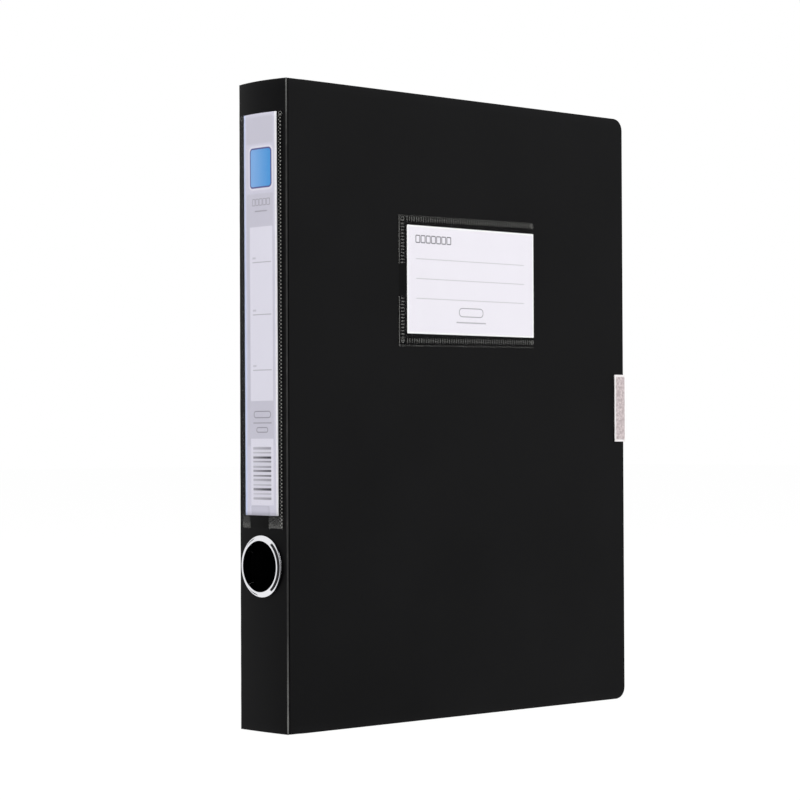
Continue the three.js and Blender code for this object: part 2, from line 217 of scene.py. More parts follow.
class Finish:
    """A new material, given by its name, or a world, with its nodes in the making."""

    def __init__(self, owner):
        self.owner = bpy.data.materials.new(owner) if isinstance(owner, str) else owner
        self.owner.use_nodes = True
        self.tree = self.owner.node_tree
        self.tree.nodes.clear()

    def node(self, kind, settings=None, **inputs):
        """Adds a node: its settings first, then its sockets' values or links, by name or as _number."""
        made = self.tree.nodes.new(kind)
        for key, value in (settings or {}).items():
            setattr(made, key, value)
        for key, value in inputs.items():
            socket = made.inputs[int(key[1:])] if key[0] == "_" else made.inputs[key.replace("_", " ")]
            if isinstance(value, Amount):
                value = value.socket
            if isinstance(value, bpy.types.NodeSocket):
                self.tree.links.new(value, socket)
            elif socket.type == "RGBA":
                socket.default_value = (*value, 1.0)
            else:
                socket.default_value = value
        return made

    def math(self, operation, *values):
        """The result of a Math node."""
        inputs = {f"_{place}": value for place, value in enumerate(values)}
        return Amount(self, self.node("ShaderNodeMath", {"operation": operation}, **inputs).outputs[0])

    def parts(self, vector):
        """A vector's X, Y and Z."""
        split = self.node("ShaderNodeSeparateXYZ", _0=vector)
        return [Amount(self, split.outputs[axis]) for axis in range(3)]

    def place(self):
        """The point's X, Y and Z on the object, in millimetres."""
        return [part * (1 / MM) for part in self.parts(self.node("ShaderNodeTexCoord").outputs["Object"])]

    def vector(self, x, y, z):
        """A vector from three numbers."""
        return self.node("ShaderNodeCombineXYZ", _0=x, _1=y, _2=z).outputs[0]

    def noise(self, point, scale, detail=2.0, roughness=0.5):
        """Fractal noise at a point, from 0 to 1."""
        made = self.node(
            "ShaderNodeTexNoise", Vector=point, Scale=scale, Detail=detail, Roughness=roughness
        )
        return Amount(self, made.outputs["Fac"])

    def clamp(self, value):
        """The value kept between 0 and 1."""
        return self.math("MINIMUM", self.math("MAXIMUM", value, 0.0), 1.0)

    def past(self, value, edge, soft):
        """0 before the edge and 1 past it, over a soft width."""
        return self.clamp((value - edge) * (1 / soft) + 0.5)

    def within(self, value, low, high, soft=0.12):
        """1 between low and high."""
        return self.past(value, low, soft) * (1 - self.past(value, high, soft))

    def patch(self, u, v, box, soft):
        """1 inside the box (low u, low v, high u, high v)."""
        return self.within(u, box[0], box[2], soft) * self.within(v, box[1], box[3], soft)

    def rounded(self, u, v, centre, half, radius):
        """Distance to a rounded rectangle's outline, negative inside it."""
        across = self.math("MAXIMUM", abs(u - centre[0]) - (half[0] - radius), 0.0)
        along = self.math("MAXIMUM", abs(v - centre[1]) - (half[1] - radius), 0.0)
        return self.math("SQRT", across * across + along * along) - radius

    def drawn(self, distance, weight, fall):
        """A printed line along an outline: its weight, less a fall for each millimetre away from it."""
        return self.clamp(weight - abs(distance) * fall)

    def cell(self, u, start, pitch):
        """How far along its own cell a point lies, in a row of equal cells, counted from the middle."""
        return self.math("FRACT", (u - start) / pitch) * pitch - pitch / 2

    def mix(self, factor, first, second):
        """One colour turning into another."""
        return self.node("ShaderNodeMix", {"data_type": "RGBA"}, _0=factor, _6=first, _7=second).outputs[2]

    def bump(self, height, distance, strength):
        """A normal from a height between 0 and 1 that stands for a distance in metres."""
        made = self.node("ShaderNodeBump", Height=height, Distance=distance, Strength=strength)
        return made.outputs["Normal"]

    def surface(self, **inputs):
        """Ends the material in a Principled surface."""
        shader = self.node("ShaderNodeBsdfPrincipled", **inputs)
        self.node("ShaderNodeOutputMaterial", Surface=shader.outputs[0])
        return self.owner


# Finishes

def scaled(tint, share):
    """A colour made darker or paler by a factor."""
    return tuple(min(1.0, value * share) for value in tint)


def sheet_finish(name="black_sheet", pocket=None):
    """Black sheet: a fine sanded grain, slow waves from rolling, and paler handled edges.

    Under a film pocket, given by the node of its film, the outer face is smoother, and its colour is
    darkened to three tenths as painted shade."""
    settings = bpy.context.scene.document_box_sheet
    finish = Finish(name)
    x, y, z = finish.place()
    pocket_shade = 0.0
    # Painted shade: the pocket mask below darkens the sheet's outer face under the film pocket.
    if pocket:
        low, high = (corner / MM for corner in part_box(pocket))
        if pocket.startswith("front"):
            outer = 1 - finish.past(y, high.y + 0.4, 0.2)
            pocket_shade = finish.patch(x, z, (low.x - 0.8, low.z - 1.2, high.x, high.z + 0.2), 0.3) * outer
        else:
            share = y / (CREASE_Y / MM)
            bow = settings.bow_foot / MM + z * ((settings.bow_head - settings.bow_foot) / HEIGHT)
            face = CREASE_X / MM - bow * (1 - share * share)
            outer = 1 - finish.past(x - face, 0.1, 0.2)
            pocket_shade = finish.patch(y, z, (low.y - 1.0, low.z + 0.3, high.y + 1.0, high.z), 0.3) * outer
    point = finish.vector(x, y, z)
    grain = finish.noise(point, 2.6, detail=3.0)
    cloud = finish.noise(point, 0.018, detail=3.0)
    middle = HEIGHT / MM / 2
    ends = finish.past(abs(z - middle), middle - 2.5, 5.0)
    worn = finish.clamp(cloud * 1.2 - 0.35 + ends * 0.5)
    bare_sheet = finish.mix(worn, settings.black, settings.scuffed)
    return finish.surface(
        # Painted shade under the pocket: the colour there falls to three tenths of the black.
        Base_Color=finish.mix(pocket_shade, bare_sheet, scaled(settings.black, 0.3)),
        Roughness=0.46 + cloud * 0.08 + grain * 0.06 - pocket_shade * 0.2,
        Specular_IOR_Level=0.055,
        Normal=finish.bump(grain * 0.6 + cloud * 0.4, 0.04 * MM, 0.35),
    )


def crease_finish():
    """Crease bead: the sheet's stress whitening together with a painted highlight on the bead's outward
    ridge, both brightest at the two ends.
    """
    settings = bpy.context.scene.document_box_sheet
    finish = Finish("stressed_crease")
    x, y, z = finish.place()
    foot = 1 - finish.past(z, 22.0, 60.0)
    head = finish.past(z, 296.0, 30.0) * 0.55
    streak = finish.noise(finish.vector(x, y, z * 0.4), 0.9, detail=3.0)
    factor = finish.clamp(foot + head + (streak - 0.5) * 0.35)
    outward = abs(y) - abs(CREASE_Y) / MM - (x - CREASE_X / MM)
    ridge = outward / (settings.crease_radius / MM * math.sqrt(2))
    white = finish.mix(factor, settings.stressed, settings.stressed_end)
    return finish.surface(
        # Painted highlight and stress whitening: the outward ridge of the bead takes the pale crease colour.
        Base_Color=finish.mix(finish.past(ridge, 0.72, 0.3), settings.black, white),
        Roughness=0.5 + streak * 0.12,
        Specular_IOR_Level=0.15,
        Normal=finish.bump(streak, 0.05 * MM, 0.4),
    )


def rivet_finish():
    """Moulded black plastic with a faint orange-peel surface."""
    settings = bpy.context.scene.document_box_sheet
    finish = Finish("rivet_plastic")
    peel = finish.noise(finish.vector(*finish.place()), 1.1)
    return finish.surface(
        Base_Color=finish.mix(peel * 0.4, settings.black, settings.scuffed),
        Roughness=0.26 + peel * 0.1,
        Specular_IOR_Level=0.35,
        Normal=finish.bump(peel, 0.03 * MM, 0.3),
    )


def chrome_finish():
    """Bright plating with faint hairlines round the ring."""
    settings = bpy.context.scene.document_box_ring
    finish = Finish("ring_chrome")
    point = finish.vector(*finish.place())
    hair = finish.noise(point, 3.2)
    haze = finish.noise(point, 0.2)
    return finish.surface(
        Base_Color=finish.mix(haze, settings.chrome, scaled(settings.chrome, 0.9)),
        Metallic=1.0,
        Roughness=0.03 + haze * 0.03,
        Normal=finish.bump(hair, 0.001 * MM, 0.1),
    )


def steel_finish():
    """Plain plated steel with a rolled grain."""
    settings = bpy.context.scene.document_box_ring
    finish = Finish("backing_steel")
    x, y, z = finish.place()
    grain = finish.noise(finish.vector(x, y * 0.15, z * 3.0), 1.4, detail=4.0)
    return finish.surface(
        Base_Color=finish.mix(grain, settings.steel, scaled(settings.steel, 0.72)),
        Metallic=1.0,
        Roughness=0.28 + grain * 0.16,
        Normal=finish.bump(grain, 0.01 * MM, 0.3),
    )


def film_finish(name, foot):
    """Clear soft film: nearly all see-through, with slow waves, and hazy below its foot line."""
    finish = Finish(name)
    x, y, z = finish.place()
    wave = finish.noise(finish.vector(x, y, z * 0.35), 0.05)
    crumple = finish.noise(finish.vector(x, y, z), 0.7, detail=3.0)
    haze = 1 - finish.past(z, foot, 0.5)
    matted = finish.clamp((foot - z) * 0.16) * 0.045 + 0.016
    return finish.surface(
        Base_Color=finish.mix(haze, (0.05, 0.05, 0.055), (0.5, 0.5, 0.49)),
        Roughness=0.12,
        IOR=1.47,
        Alpha=0.014 + wave * 0.01 + haze * crumple * matted,
        Normal=finish.bump(wave, 0.5 * MM, 0.6),
    )


def weld_finish(name, density, tone=1.0):
    """Knurled weld: frosted film, denser in some knurls than in others, paler by its tone."""
    settings = bpy.context.scene.document_box_labels
    finish = Finish(name)
    frost = finish.noise(finish.vector(*finish.place()), 1.3, detail=3.0)
    return finish.surface(
        Base_Color=finish.mix(frost, scaled(settings.weld, tone), scaled(settings.weld, tone * 1.5)),
        Roughness=0.3 + frost * 0.15,
        Specular_IOR_Level=0.35,
        Alpha=density * 0.7 + frost * density * 0.6,
        Normal=finish.bump(frost, 0.05 * MM, 0.4),
    )


def paper(finish, point, sheet, mottle, roughness):
    """Ends a paper's material: the tooth of its fibres, and a faint mottling in one more colour."""
    fibres = finish.noise(point, 1.6, detail=4.0, roughness=0.6)
    return finish.surface(
        Base_Color=finish.mix(fibres * 0.05, sheet, mottle),
        Roughness=roughness + fibres * 0.1,
        Specular_IOR_Level=0.25,
        Normal=finish.bump(fibres, 0.02 * MM, 0.3),
    )


def front_card_finish():
    """White card: a bright border, three writing rules and a row of small blank cells."""
    settings = bpy.context.scene.document_box_labels
    finish = Finish("label_paper")
    x, y, z = finish.place()
    low, high = (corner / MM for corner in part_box("front_label"))
    u = x - (low.x + high.x) / 2
    v = z - (low.z + high.z) / 2
    border = 0.9
    wide, tall = (high.x - low.x) / 2 - border, (high.z - low.z) / 2 - border
    inner = finish.patch(u, v, (-wide, -tall, wide, tall), 0.3)
    sheet = finish.mix(inner, settings.edge_white, settings.white)
    rules = sum(finish.patch(u, v, (-38.6, row - 0.22, 37.6, row + 0.22), 0.3) for row in (10.3, 0.5, -9.3))
    sheet = finish.mix(finish.clamp(rules), sheet, settings.rule)
    start, pitch, cells = -39.2, 3.55, 7
    outline = finish.rounded(finish.cell(u, start, pitch), v, (0, 20.1), (1.35, 1.75), 0.4)
    marks = finish.drawn(outline, 1.5, 4.2) * finish.within(u, start, start + cells * pitch) * 0.9
    pill = finish.rounded(u, v, (-0.6, -15.4), (8.4, 2.1), 2.0)
    marks = marks + finish.drawn(pill, 1.2, 4.0) * 0.75
    marks = marks + finish.patch(u, v, (-11.0, -20.8, 9.8, -20.2), 0.3) * 0.5
    sheet = finish.mix(finish.clamp(marks), sheet, settings.ink)
    return paper(finish, finish.vector(x, y, z), sheet, settings.rule, 0.62)


def spine_strip_finish():
    """Spine label: printed zones, a plain blue patch, three writing rules and a row of bars."""
    settings = bpy.context.scene.document_box_labels
    finish = Finish("spine_paper")
    x, y, z = finish.place()
    u = y * -1.0
    sheet = finish.mix(finish.past(u, 10.9, 0.6) * 0.7, settings.margin, settings.edge_white)
    sheet = finish.mix(finish.past(u, -10.6, 0.6), settings.margin_blue, sheet)
    for box, soft, tint in (
        ((-9.8, 279.8, 9.8, 293.2), 0.9, settings.lavender_grey),
        ((-9.8, 136.0, 9.8, 256.0), 1.2, settings.lavender_grey),
        ((-7.3, 157.4, 9.2, 240.2), 0.5, settings.lavender),
        ((-7.3, 107.9, 9.2, 139.4), 0.5, settings.lavender),
    ):
        sheet = finish.mix(finish.patch(u, z, box, soft), sheet, tint)
    outline = finish.rounded(u, z, (1.0, 268.2), (7.9, 9.6), 2.1)
    blue = finish.mix(finish.past(u, 1.5, 11.0), settings.sky, settings.azure)
    nested = ((1.0, 0.8, settings.lavender), (0.0, 0.2, settings.patch_edge), (-0.72, 0.2, blue))
    for reach, soft, tint in nested:
        sheet = finish.mix(1 - finish.past(outline, reach, soft), sheet, tint)
    middle = 1.3
    rules = (223.3, 198.4, 172.0)
    boxes = [((-5.2, row - 0.18, 8.2, row + 0.18), 0.5) for row in rules]
    boxes += [((-5.2, row + 1.6, -2.6, row + 2.5), 0.25) for row in rules]
    for row, reach in ((247.6, 4.4), (146.9, 6.6)):
        boxes.append(((middle - reach, row - 0.3, middle + reach, row + 0.3), 0.4))
    lines = sum(finish.patch(u, z, box, 0.3) * share for box, share in boxes)
    start, pitch, cells = -5.2, 2.6, 5
    cell = finish.rounded(finish.cell(u, start, pitch), z, (0, 251.9), (1.0, 1.5), 0.3)
    lines = lines + finish.drawn(cell, 1.2, 4.5) * finish.within(u, start, start + cells * pitch) * 0.5
    for row, reach, tall in ((150.9, 6.0, 1.5), (143.6, 4.0, 1.1)):
        pill = finish.rounded(u, z, (middle, row), (reach, tall), tall - 0.1)
        lines = lines + finish.drawn(pill, 1.2, 3.5) * 0.6
    beat = finish.math("SINE", z * 2.9) + finish.math("SINE", z * 1.31 + 1.0) * 0.6
    fine = finish.math("SINE", z * 9.7) * 0.5 + 0.5
    bars = finish.past(beat, 0.35, 0.7) * (0.72 + finish.math("SINE", z * 0.83) * 0.26) + fine * 0.22
    fade = 0.6 + finish.past(u, 1.0, 12.0) * 0.4
    lines = lines + bars * fade * finish.patch(u, z, (-5.6, 110.4, 7.5, 135.6), 0.3)
    sheet = finish.mix(finish.clamp(lines), sheet, settings.ink)
    lean = (z - 107.0) * 0.084
    shape = finish.rounded(u + lean, z, (-0.6, 100.0), (6.6, 7.4), 0.6)
    foot = (1 - finish.past(shape, 0.0, 0.4)) * 0.55 + finish.drawn(shape, 1, 3.0) * 0.5
    sheet = finish.mix(foot, sheet, settings.uncovered)
    return paper(finish, finish.vector(x, y, z), sheet, settings.lavender_grey, 0.6)


def tape_finish(name, napped):
    """Woven tape: crossing threads with stray fibres, and a painted highlight along its edges."""
    settings = bpy.context.scene.document_box_tape
    finish = Finish(name)
    x, y, z = finish.place()
    point = finish.vector(x, y, z)
    turn = 2 * math.pi * MM / settings.thread_pitch
    warp = finish.math("SINE", x * turn) * 0.5 + 0.5
    weft = finish.math("SINE", z * turn) * 0.5 + 0.5
    fuzz = finish.noise(point, 1.9, detail=5.0, roughness=0.7)
    blotch = finish.noise(point, 0.75, detail=4.0, roughness=0.7)
    weave = warp * 0.25 + weft * 0.25 + fuzz * (0.9 if napped else 0.5)
    low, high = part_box("closing_tab")
    half = (high.z - low.z) / 2 / MM
    selvedge, leg_end, front = 1.1, 111.2, 16.9
    ends = finish.past(abs(z - HEIGHT / MM / 2), half - selvedge, 0.6)
    side = (1 - finish.past(x, leg_end, 0.4)) * finish.past(y * -1.0, front, 0.3)
    shade = finish.clamp(weave * 0.5 + (blotch - 0.5) * 3.6 + 0.25)
    threads = finish.mix(shade, settings.thread_dark, settings.thread)
    # Painted highlight along the tape's long edges and the front leg's cut end.
    bright = finish.clamp(ends + side) * (0.3 if napped else 0.85)
    return finish.surface(
        Base_Color=finish.mix(bright, threads, settings.selvedge),
        Roughness=0.8 + fuzz * 0.15,
        Specular_IOR_Level=0.2,
        Sheen_Weight=0.3,
        Normal=finish.bump(weave, 0.16 * MM, 0.8),
    )


# Shapes

def grid_faces(rows, columns, round_rows=False, round_columns=False):
    """Quads between the points of a grid that is stored row by row, each way closed on itself or not."""
    row = np.arange(rows if round_rows else rows - 1)[:, None]
    column = np.arange(columns if round_columns else columns - 1)[None, :]
    below = (row + 1) % rows
    beside = (column + 1) % columns
    corners = (
        row * columns + column,
        row * columns + beside,
        below * columns + beside,
        below * columns + column,
    )
    return np.stack([np.broadcast_to(c, (row.size, column.size)).ravel() for c in corners], axis=1)


def tube_faces(rows, columns):
    """Quads round a tube that is stored ring by ring, and one face over each of its ends."""
    faces = grid_faces(rows, columns, round_columns=True).tolist()
    faces.append(list(range(columns))[::-1])
    faces.append(list(range((rows - 1) * columns, rows * columns)))
    return faces


def repeated(faces, count, each):
    """The faces of one shape, numbered on for a count of copies that have so many points each."""
    shift = np.arange(count)[:, None, None] * each
    return (faces[None] + shift).reshape(-1, faces.shape[1])


def add_piece(name, points, faces, material, body, slot):
    """A smooth mesh object from points and faces, riding on a body."""
    mesh = bpy.data.meshes.new(name)
    mesh.from_pydata(np.asarray(points).reshape(-1, 3).tolist(), [], [list(face) for face in faces])
    mesh.polygons.foreach_set("use_smooth", np.full(len(mesh.polygons), True))
    mesh.materials.append(material)
    mesh.update()
    made = bpy.data.objects.new(name, mesh)
    bpy.context.scene.collection.objects.link(made)
    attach(made, body)
    return made


def modified(made, kind, **settings):
    """Adds a modifier with its settings."""
    modifier = made.modifiers.new(kind.title().replace("_", " "), kind)
    for key, value in settings.items():
        setattr(modifier, key, value)


def stand_in(made, node):
    """Evens out a piece's shading and shows the piece in its node's place."""
    modified(made, "WEIGHTED_NORMAL", keep_sharp=True)
    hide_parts(node)


def rounded_outline(low, high, radii, inset, steps=6):
    """Rectangle with a radius at each corner, drawn inwards by an inset, anticlockwise.

    Each corner is its centre plus a radius turned through a quarter circle."""
    turns = np.linspace(0, math.pi / 2, steps + 1)
    corners = []
    for quarter, radius in enumerate(radii):
        right, upper = quarter in (1, 2), quarter in (2, 3)
        centre = (
            high[0] - radius if right else low[0] + radius,
            high[1] - radius if upper else low[1] + radius,
        )
        angle = math.pi + quarter * math.pi / 2 + turns
        reach = max(radius - inset, 0.0)
        shift = min(radius - inset, 0.0)
        corner = np.stack([np.cos(angle), np.sin(angle)], axis=1) * reach
        signs = np.array([1 if right else -1, 1 if upper else -1])
        corners.append(np.array(centre) + corner + signs * shift)
    return np.concatenate(corners)


def plate(low, high, radii, back, front, edge, place, rounds=4):
    """Closed plate: its outline carried round a half-round edge, with a flat face at each end.

    The inset falls and rises as edge times one minus the sine of the turn, the depth as its cosine."""
    turn = np.linspace(0, math.pi / 2, rounds + 1)
    inset = edge * (1 - np.sin(turn))
    rise = edge * (1 - np.cos(turn))
    levels = [*zip(inset, back + rise), *zip(inset[::-1], front - rise[::-1])]
    rings = []
    for drawn, depth in levels:
        outline = rounded_outline(low, high, radii, drawn)
        rings.append(np.column_stack([outline, np.full(len(outline), depth)]))
    return place(np.concatenate(rings)), tube_faces(len(levels), len(rings[0]))


def front_place(points):
    """Flat on the cover: u is X, v is Z and w is the distance out of the cover, along -Y."""
    return np.column_stack([points[:, 0], -points[:, 2], points[:, 1]])


def box_plate(node, radii, edge):
    """A plate that fills its node's box, parallel to the cover."""
    low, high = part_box(node)
    return plate((low.x, low.z), (high.x, high.z), radii, -high.y, -low.y, edge, front_place)


def spine_face(y, z):
    """X of the spine's outer face: a parabola across the spine whose rise grows with height."""
    sheet = bpy.context.scene.document_box_sheet
    bow = sheet.bow_foot + (sheet.bow_head - sheet.bow_foot) * z / HEIGHT
    return CREASE_X - sheet.thickness / 2 - bow * (1 - (y / CREASE_Y) ** 2)


def spine_place(points):
    """On the bowed spine: u is -Y, v is Z and w is the distance out of the spine, along -X."""
    y, z = -points[:, 0], points[:, 1]
    return np.column_stack([spine_face(y, z) - points[:, 2], y, z])


def sheet_surface(u_lines, v_lines, height, place, keep=None):
    """Open surface over a grid of lines, raised by a height function, with the cells that keep allows."""
    u, v = np.meshgrid(u_lines, v_lines)
    points = place(np.column_stack([u.ravel(), v.ravel(), height(u, v).ravel()]))
    faces = grid_faces(len(v_lines), len(u_lines))
    if keep:
        middle_u = (u[:-1, :-1] + u[1:, 1:]).ravel() / 2
        middle_v = (v[:-1, :-1] + v[1:, 1:]).ravel() / 2
        faces = faces[keep(middle_u, middle_v)]
    return points, faces


def curls(places, depth, tube, place):
    """Small rings that lie on a film, each a circle swept by a thin round section."""
    radius, lift = 0.95 * MM, 0.1 * MM
    steps, sides = 16, 6
    turn = np.linspace(0, 2 * math.pi, steps, endpoint=False)[:, None]
    section = np.linspace(0, 2 * math.pi, sides, endpoint=False)[None, :]
    reach = radius + tube * np.cos(section)
    ring = np.stack([
        reach * np.cos(turn), reach * np.sin(turn), tube * np.sin(section) * np.ones_like(turn)
    ], axis=-1).reshape(-1, 3)
    centres = np.array([(*end, depth + lift) for end in places])
    points = centres[:, None, :] + ring[None]
    single = grid_faces(steps, sides, round_rows=True, round_columns=True)
    return place(points.reshape(-1, 3)), repeated(single, len(centres), len(ring))[:, ::-1]


def knurls(u, v, depth, halves, place, upright=False):
    """Many half-ellipsoids that stand on a film, each on its place with its long axis across or upright.

    A point is the place plus sines and cosines of two angles, scaled by the half-axes and the rise."""
    long_half, short_half = halves
    rise = 0.2 * MM
    levels, sides = 4, 8
    tilt = np.linspace(0, math.pi / 2, levels)[:, None]
    turn = np.linspace(0, 2 * math.pi, sides, endpoint=False)[None, :]
    long = (np.cos(tilt) * np.cos(turn)).ravel() * long_half
    short = (np.cos(tilt) * np.sin(turn)).ravel() * short_half
    lift = (np.sin(tilt) * np.ones_like(turn)).ravel() * rise
    across, along = (-short, long) if upright else (long, short)
    u, v = (lines[:, None] for lines in np.broadcast_arrays(u, v))
    points = np.stack(np.broadcast_arrays(u + across, v + along, depth + lift), axis=-1)
    count, each = points.shape[:2]
    faces = repeated(grid_faces(levels, sides, round_columns=True), count, each).tolist()
    faces += repeated(np.arange(sides)[None, ::-1], count, each).tolist()
    return place(points.reshape(-1, 3)), faces


def arc(centre, radius, start, end, steps):
    """Points on an arc about a centre, from one angle in degrees to another."""
    turn = np.radians(np.linspace(start, end, steps))
    return np.column_stack([centre[0] + radius * np.cos(turn), centre[1] + radius * np.sin(turn)])


def outward_and_merged(made, direction):
    """Merges the patches' shared points and turns the faces to look along a direction."""
    work = bmesh.new()
    work.from_mesh(made.data)
    bmesh.ops.remove_doubles(work, verts=work.verts, dist=0.01 * MM)
    work.normal_update()
    turned = [face for face in work.faces if face.normal.dot(direction) < 0]
    bmesh.ops.reverse_faces(work, faces=turned)
    work.to_mesh(made.data)
    work.free()


# Sheet pieces

def middle_height(node):
    """Z of the middle of a node's box."""
    low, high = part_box(node)
    return (low.z + high.z) / 2


def spine_patches():
    """Outer face of the spine as (Y, Z) patches: two plain ones and a square one with a round hole.

    In the square patch a point runs from the circle to the square along one radius."""
    ring = bpy.context.scene.document_box_ring
    reach = abs(CREASE_Y)
    middle = middle_height("finger_ring")
    low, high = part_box("spine")
    across = 24
    y = np.linspace(-reach, reach, across + 1)
    patches = []
    for start, end, rows in ((low.z, middle - reach, 20), (middle + reach, high.z, 70)):
        z = np.linspace(start, end, rows + 1)
        grid = np.stack(np.meshgrid(y, z), axis=-1).reshape(-1, 2)
        patches.append((grid, grid_faces(rows + 1, across + 1)))
    side = np.linspace(-reach, reach, across, endpoint=False)
    edge = np.full(across, reach)
    square = np.concatenate([
        np.column_stack(pair) for pair in ((side, -edge), (edge, side), (-side, edge), (-edge, -side))
    ])
    angle = np.arctan2(square[:, 1], square[:, 0])
    clearance, rows, crowding = 1.0 * MM, 9, 1.4
    circle = (ring.inner_radius + clearance) * np.column_stack([np.cos(angle), np.sin(angle)])
    share = np.linspace(0, 1, rows)[:, None, None] ** crowding
    rings = circle[None] + (square - circle)[None] * share
    rings[..., 1] += middle
    patches.append((rings.reshape(-1, 2), grid_faces(rows, 4 * across, round_columns=True)))
    return patches


class BOX_OT_spine(bpy.types.Operator):
    """Bowed spine sheet with its finger hole, and the two crease beads along its edges, whitened and
    carrying a painted highlight.
    """

    bl_idname = "document_box.spine"
    bl_label = "Spine"

    def execute(self, context):
        settings = context.scene.document_box_sheet
        points, faces, start = [], [], 0
        for patch, quads in spine_patches():
            y, z = patch.T
            points.append(np.column_stack([spine_face(y, z), y, z]))
            faces += (quads + start).tolist()
            start += len(patch)
        material = sheet_finish("spine_sheet", "spine_pocket_film")
        spine = add_piece("spine_shell", np.concatenate(points), faces, material, "spine", "black_sheet")
        outward_and_merged(spine, Vector((-1, 0, 0)))
        modified(spine, "SOLIDIFY", thickness=settings.thickness, offset=-1.0)
        modified(spine, "BEVEL", width=settings.edge_round, segments=2, angle_limit=math.radians(50))
        stand_in(spine, "spine")
        low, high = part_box("spine")
        rows, sides = 120, 16
        heights = np.linspace(low.z, high.z, rows)[:, None]
        turn = np.linspace(0, 2 * math.pi, sides, endpoint=False)
        swell, waves = 0.035, 410.0
        for name, side in (("front_crease", -1), ("back_crease", 1)):
            radius = settings.crease_radius * (1 + swell * np.sin(heights * waves + side))
            bead = np.stack(np.broadcast_arrays(
                CREASE_X + radius * np.cos(turn), side * abs(CREASE_Y) + radius * np.sin(turn), heights
            ), axis=-1)
            add_piece(name, bead, tube_faces(rows, sides), crease_finish(), "spine", "black_sheet")
        return {"FINISHED"}


class BOX_OT_cover(bpy.types.Operator):
    """Front cover: a flat panel with two rounded corners and softened edges."""

    bl_idname = "document_box.cover"
    bl_label = "Front cover"

    def execute(self, context):
        settings = context.scene.document_box_sheet
        edge, free = settings.edge_round, settings.corner_radius
        shape = box_plate("front_cover", (edge * 1.1, free, free, edge * 1.1), edge)
        material = sheet_finish("cover_sheet", "front_pocket_film")
        cover = add_piece("cover_panel", *shape, material, "cover", "black_sheet")
        stand_in(cover, "front_cover")
        return {"FINISHED"}


class BOX_OT_tray(bpy.types.Operator):
    """Folded tray with smooth bends, and its snap rivets."""

    bl_idname = "document_box.tray"
    bl_label = "Tray and rivets"

    def execute(self, context):
        mesh = frame["nodes"]["tray"].data.copy()
        work = bmesh.new()
        work.from_mesh(mesh)
        bmesh.ops.remove_doubles(work, verts=work.verts, dist=0.002 * MM)
        bmesh.ops.dissolve_limit(
            work, angle_limit=math.radians(0.5), verts=work.verts, edges=work.edges
        )
        for edge in work.edges:
            edge.smooth = len(edge.link_faces) == 2 and edge.calc_face_angle() < math.radians(30)
        for face in work.faces:
            face.smooth = True
        work.to_mesh(mesh)
        work.free()
        mesh.materials.clear()
        mesh.materials.append(sheet_finish())
        tray = bpy.data.objects.new("tray_sheet", mesh)
        context.scene.collection.objects.link(tray)
        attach(tray, "tray")
        stand_in(tray, "tray")
        for end in ("lower", "upper"):
            for part in ("head", "cap"):
                materials = frame["nodes"][f"rivet_{part}_{end}"].data.materials
                materials.clear()
                materials.append(rivet_finish())
        return {"FINISHED"}


# Ring

def add_lathe(name, profile, height, material, slot, node):
    """A closed profile of (radius, X) pairs, turned about a line along X at a height, in its node's place.

    Y is the radius times the cosine of the turn and Z the radius times its sine."""
    segments = 96
    radius, x = profile.T[:, :, None]
    turn = np.linspace(0, 2 * math.pi, segments, endpoint=False)
    points = np.stack(np.broadcast_arrays(
        x, radius * np.cos(turn), height + radius * np.sin(turn)
    ), axis=-1)
    faces = grid_faces(len(profile), segments, round_rows=True, round_columns=True)
    made = add_piece(name, points, faces, material, "spine", slot)
    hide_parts(node)


class BOX_OT_ring(bpy.types.Operator):
    """Chromed finger ring, whose flat rim falls at 45 degrees to a sloping flange, and its washer."""

    bl_idname = "document_box.ring"
    bl_label = "Finger ring"

    def execute(self, context):
        settings = context.scene.document_box_ring
        height = middle_height("finger_ring")
        back_low, back_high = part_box("ring_backing")
        inner, outer = settings.inner_radius, settings.outer_radius
        seat = spine_face(0, height + outer) - 0.1 * MM
        rim_x = seat - settings.crest
        rim_outer = inner + settings.crest_width
        shoulder = seat - settings.flange
        soft, lip = 0.22 * MM, 0.2 * MM
        spread = settings.crest - settings.flange - 4 * soft * (1 - math.sqrt(0.5))
        tube = inner + 0.7 * MM
        crimp = back_high.x + 0.1 * MM
        profile = np.concatenate([
            arc((inner + soft, rim_x + soft), soft, 180, 270, 7),
            arc((rim_outer - soft, rim_x + soft), soft, 270, 315, 5),
            arc((rim_outer + spread + soft, shoulder - soft), soft, 135, 90, 5),
            arc((outer - lip, seat - lip), lip, 292, 450, 9),
            [(tube, seat), (tube, crimp)],
            arc((inner + 1.3 * MM, crimp + 0.25 * MM), 0.25 * MM, 270, 450, 7),
            arc((inner + 0.3 * MM, crimp + 0.2 * MM), 0.3 * MM, 90, 180, 5),
        ])
        add_lathe("finger_eyelet", profile, height, chrome_finish(), "ring_chrome", "finger_ring")
        bore = tube + 0.15 * MM
        rim = (back_high.z - back_low.z) / 2
        half = (back_high.x - back_low.x) / 2
        middle = (back_high.x + back_low.x) / 2
        washer = np.concatenate([
            arc((bore + half, middle), half, 90, 270, 9),
            arc((rim - half, middle), half, 270, 450, 9),
        ])
        add_lathe("eyelet_washer", washer, height, steel_finish(), "backing_steel", "ring_backing")
        return {"FINISHED"}


# Labels and film pockets

def lines_between(*stretches):
    """Grid lines over stretches of (start, end, cells), joined end to end."""
    parts = [np.linspace(start, end, cells, endpoint=False) for start, end, cells in stretches]
    return np.concatenate([*parts, [stretches[-1][1]]])


def eased(value, start, end):
    """Smooth step from 0 at start to 1 at end."""
    share = np.clip((value - start) / (end - start), 0, 1)
    return share * share * (3 - 2 * share)


def add_sheet(name, surface, thickness, material, body, slot, node, direction):
    """An open surface given its thickness inwards, in its node's place."""
    made = add_piece(name, *surface, material, body, slot)
    outward_and_merged(made, Vector(direction))
    modified(made, "SOLIDIFY", thickness=thickness, offset=-1.0)
    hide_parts(node)


